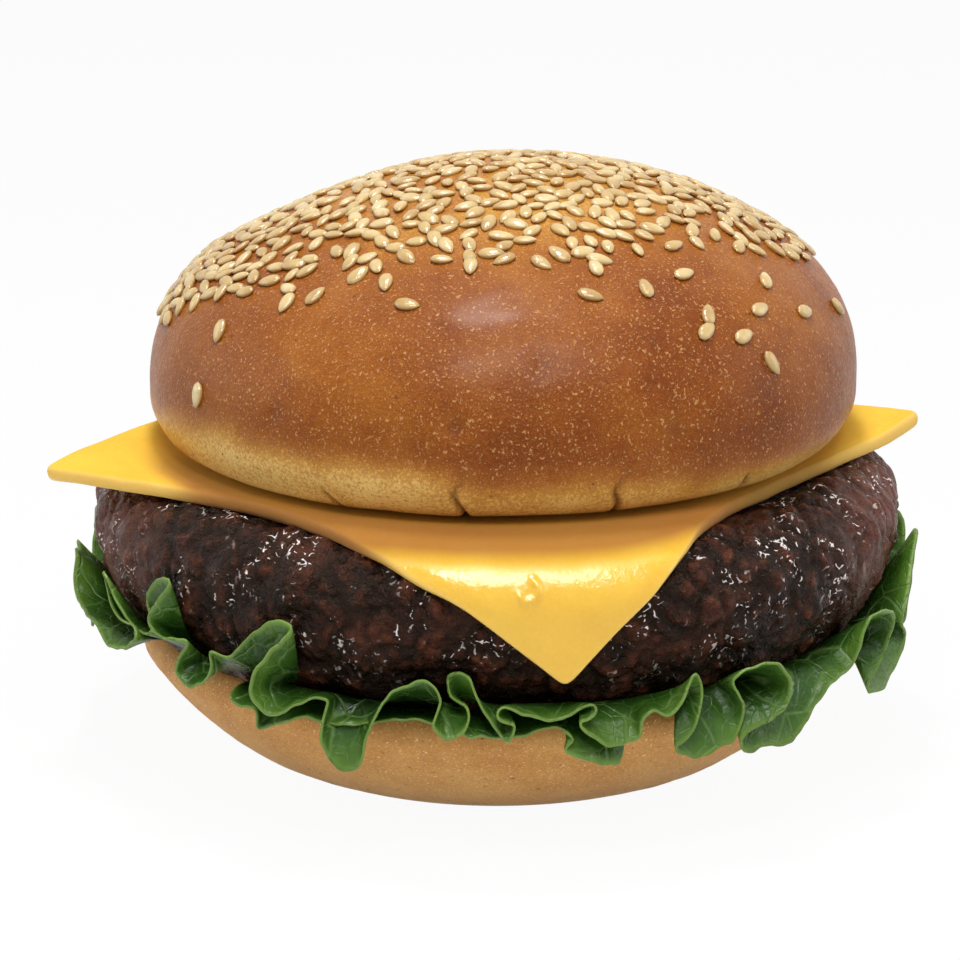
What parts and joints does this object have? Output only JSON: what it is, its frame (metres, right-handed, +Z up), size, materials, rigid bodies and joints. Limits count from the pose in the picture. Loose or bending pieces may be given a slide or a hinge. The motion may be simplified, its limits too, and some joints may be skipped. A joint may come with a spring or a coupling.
{
  "type": "hamburger telephone",
  "caption": "Clamshell corded telephone shaped as a cheeseburger: a hinged top bun with the earpiece over a base with the keypad and microphone.",
  "frame": {"origin": "on the ground under the stack axis of the burger, in the plane of the soles of the feet", "axes": "+Z up along the stack axis, -Y towards the front where the lid opens, +X to the right; the hinge is at the back, along X"},
  "size_m": [0.1416, 0.1343, 0.0957],
  "materials": {
    "heel_bun": "satin, baked look",
    "crown_bun": "soft gloss, baked look",
    "seed_cream": "soft gloss",
    "patty_brown": "coarse, half gloss",
    "cheese_yellow": "smooth gloss",
    "leaf_green": "flexible vinyl, satin",
    "cream_plastic": "fine satin",
    "plunger_cream": "satin",
    "slider_cream": "satin",
    "key_cream": "satin",
    "key_red": "satin",
    "mat_rubber": "matt",
    "foot_rubber": "matt",
    "board_green": "lacquered",
    "screw_steel": "zinc plated",
    "pin_steel": "turned",
    "plate_steel": "rolled",
    "ringer_brass": "bright",
    "capsule_metal": "drawn",
    "receiver_black": "matt",
    "switch_black": "matt",
    "jack_black": "matt",
    "inner_plastic": "matt",
    "lead_red": "vinyl sleeve"
  },
  "bodies": {
    "base": {"heel_shell": "heel_bun", "rubber_feet": "foot_rubber", "heel_screws": "screw_steel", "weight_plate": "plate_steel", "ringer": "ringer_brass", "slide_switches": "switch_black", "chassis_plate": "inner_plastic", "chassis_screws": "screw_steel", "lettuce_leaf": "leaf_green", "patty_shell": "patty_brown", "main_board": "board_green", "board_screws": "screw_steel", "line_jack": "jack_black", "base_leads": "lead_red", "cheese_slice": "cheese_yellow", "keypad_faceplate": "cream_plastic", "keypad_mat": "mat_rubber", "keypad_board": "board_green", "keypad_screws": "screw_steel", "microphone": "capsule_metal", "hook_switch": "switch_black", "hinge_pin": "pin_steel"},
    "lid": {"crown_shell": "crown_bun", "sesame_seeds": "seed_cream", "ear_plate": "cream_plastic", "ear_receiver": "receiver_black", "receiver_ring": "inner_plastic", "lid_screws": "screw_steel", "lid_lead": "lead_red"},
    "key_1": {"key_1": "key_cream"},
    "key_2": {"key_2": "key_cream"},
    "key_3": {"key_3": "key_cream"},
    "key_4": {"key_4": "key_cream"},
    "key_5": {"key_5": "key_cream"},
    "key_6": {"key_6": "key_cream"},
    "key_7": {"key_7": "key_cream"},
    "key_8": {"key_8": "key_cream"},
    "key_9": {"key_9": "key_cream"},
    "key_star": {"key_star": "key_cream"},
    "key_0": {"key_0": "key_cream"},
    "key_hash": {"key_hash": "key_cream"},
    "key_flash": {"key_flash": "key_red"},
    "key_redial": {"key_redial": "key_red"},
    "hook_plunger": {"hook_plunger": "plunger_cream"},
    "ringer_slider": {"ringer_slider": "slider_cream"},
    "tone_slider": {"tone_slider": "slider_cream"}
  },
  "joints": [
    {"name": "lid_hinge", "type": "hinge", "parent": "base", "child": "lid", "pos_m": [0, 0.0615, 0.0545], "axis": [-1, 0, 0], "range_deg": [0, 120]},
    {"name": "key_1_press", "type": "slide", "parent": "base", "child": "key_1", "axis": [0, 0, 1], "range_m": [-0.0012, 0], "stiffness_N_per_m": 500, "springref_m": 0.0003},
    {"name": "key_2_press", "type": "slide", "parent": "base", "child": "key_2", "axis": [0, 0, 1], "range_m": [-0.0012, 0], "stiffness_N_per_m": 500, "springref_m": 0.0003},
    {"name": "key_3_press", "type": "slide", "parent": "base", "child": "key_3", "axis": [0, 0, 1], "range_m": [-0.0012, 0], "stiffness_N_per_m": 500, "springref_m": 0.0003},
    {"name": "key_4_press", "type": "slide", "parent": "base", "child": "key_4", "axis": [0, 0, 1], "range_m": [-0.0012, 0], "stiffness_N_per_m": 500, "springref_m": 0.0003},
    {"name": "key_5_press", "type": "slide", "parent": "base", "child": "key_5", "axis": [0, 0, 1], "range_m": [-0.0012, 0], "stiffness_N_per_m": 500, "springref_m": 0.0003},
    {"name": "key_6_press", "type": "slide", "parent": "base", "child": "key_6", "axis": [0, 0, 1], "range_m": [-0.0012, 0], "stiffness_N_per_m": 500, "springref_m": 0.0003},
    {"name": "key_7_press", "type": "slide", "parent": "base", "child": "key_7", "axis": [0, 0, 1], "range_m": [-0.0012, 0], "stiffness_N_per_m": 500, "springref_m": 0.0003},
    {"name": "key_8_press", "type": "slide", "parent": "base", "child": "key_8", "axis": [0, 0, 1], "range_m": [-0.0012, 0], "stiffness_N_per_m": 500, "springref_m": 0.0003},
    {"name": "key_9_press", "type": "slide", "parent": "base", "child": "key_9", "axis": [0, 0, 1], "range_m": [-0.0012, 0], "stiffness_N_per_m": 500, "springref_m": 0.0003},
    {"name": "key_star_press", "type": "slide", "parent": "base", "child": "key_star", "axis": [0, 0, 1], "range_m": [-0.0012, 0], "stiffness_N_per_m": 500, "springref_m": 0.0003},
    {"name": "key_0_press", "type": "slide", "parent": "base", "child": "key_0", "axis": [0, 0, 1], "range_m": [-0.0012, 0], "stiffness_N_per_m": 500, "springref_m": 0.0003},
    {"name": "key_hash_press", "type": "slide", "parent": "base", "child": "key_hash", "axis": [0, 0, 1], "range_m": [-0.0012, 0], "stiffness_N_per_m": 500, "springref_m": 0.0003},
    {"name": "key_flash_press", "type": "slide", "parent": "base", "child": "key_flash", "axis": [0, 0, 1], "range_m": [-0.0012, 0], "stiffness_N_per_m": 500, "springref_m": 0.0003},
    {"name": "key_redial_press", "type": "slide", "parent": "base", "child": "key_redial", "axis": [0, 0, 1], "range_m": [-0.0012, 0], "stiffness_N_per_m": 500, "springref_m": 0.0003},
    {"name": "hook_slide", "type": "slide", "parent": "base", "child": "hook_plunger", "axis": [0, 0, 1], "range_m": [0, 0.003]},
    {"name": "ringer_switch", "type": "slide", "parent": "base", "child": "ringer_slider", "axis": [1, 0, 0], "range_m": [0, 0.003]},
    {"name": "tone_switch", "type": "slide", "parent": "base", "child": "tone_slider", "axis": [1, 0, 0], "range_m": [0, 0.003]}
  ],
  "couplings": [
    {"joint": "hook_slide", "follows": "lid_hinge", "m_per_rad": 0.00143}
  ]
}
